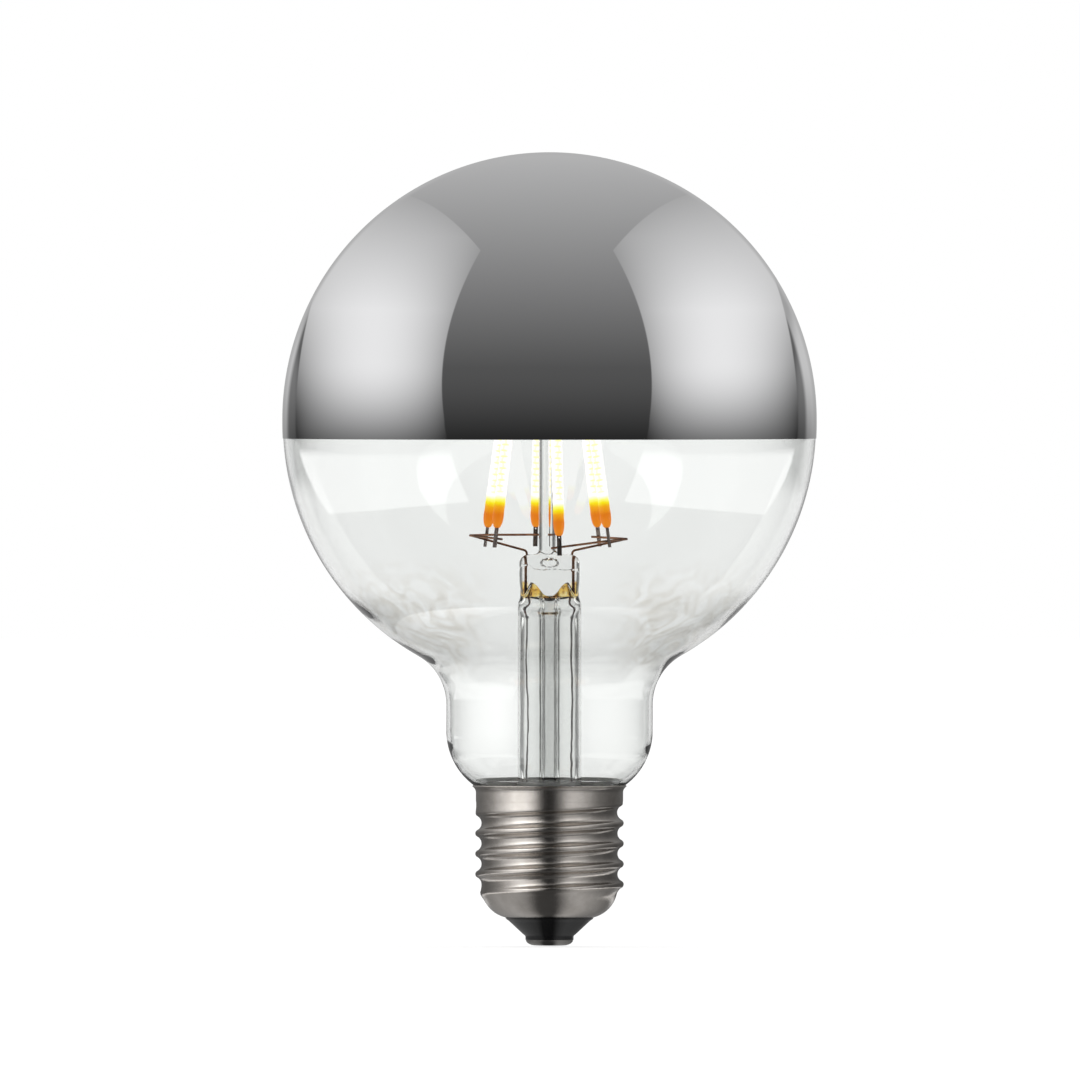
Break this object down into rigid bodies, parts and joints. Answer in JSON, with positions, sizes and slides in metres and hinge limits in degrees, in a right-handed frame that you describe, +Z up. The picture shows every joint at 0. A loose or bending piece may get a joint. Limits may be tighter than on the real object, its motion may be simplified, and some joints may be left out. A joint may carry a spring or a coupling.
{
  "type": "silver crown bulb",
  "caption": "Round globe lamp with a mirrored upper half over clear glass, upright light-emitting filaments round a glass stem, and a 27 mm screw cap.",
  "frame": {"origin": "centre of the flat foot of the bottom contact", "axes": "+Z up the lamp's axis from the contact to the crown; +X to the right and -Y towards the viewer of the picture"},
  "size_m": [0.095, 0.095, 0.141],
  "materials": {
    "clear_glass": "clear, gloss",
    "stem_glass": "clear, gloss",
    "crown_mirror": "silver mirror",
    "nickel_cap": "satin nickel plate",
    "cement": "matt",
    "black_insulator": "gloss",
    "contact_metal": "dark, satin",
    "filament_coat": "soft yellow coat",
    "tab_metal": "satin",
    "copper_lead": "oxidised copper",
    "sealing_wire": "copper clad",
    "steel_wire": "satin",
    "circuit_board": "matt",
    "component_black": "matt",
    "capacitor_sleeve": "gloss",
    "resistor_coat": "matt",
    "hookup_wire": "gloss"
  },
  "bodies": {
    "root": {"bridge_rectifier": "component_black", "cap_cement": "cement", "cap_insulator": "black_insulator", "cap_shell": "nickel_cap", "centre_contact": "contact_metal", "centre_rod": "stem_glass", "cross_wire_left": "copper_lead", "cross_wire_right": "copper_lead", "driver_board": "circuit_board", "driver_chip": "component_black", "exhaust_tube": "stem_glass", "filament_1": "filament_coat", "filament_2": "filament_coat", "filament_3": "filament_coat", "filament_4": "filament_coat", "filament_5": "filament_coat", "filament_6": "filament_coat", "fuse_resistor": "resistor_coat", "glass_envelope": "clear_glass", "inner_lead_left": "copper_lead", "inner_lead_right": "copper_lead", "live_wire": "hookup_wire", "lower_tab_1": "tab_metal", "lower_tab_2": "tab_metal", "lower_tab_3": "tab_metal", "lower_tab_4": "tab_metal", "lower_tab_5": "tab_metal", "lower_tab_6": "tab_metal", "neutral_wire": "hookup_wire", "outer_lead_left": "steel_wire", "outer_lead_right": "steel_wire", "seal_wire_left": "sealing_wire", "seal_wire_right": "sealing_wire", "silver_crown": "crown_mirror", "smoothing_capacitor": "capacitor_sleeve", "stem_tube": "stem_glass", "top_cross_wire": "steel_wire", "top_ring": "steel_wire", "upper_tab_1": "tab_metal", "upper_tab_2": "tab_metal", "upper_tab_3": "tab_metal", "upper_tab_4": "tab_metal", "upper_tab_5": "tab_metal", "upper_tab_6": "tab_metal"}
  },
  "joints": []
}
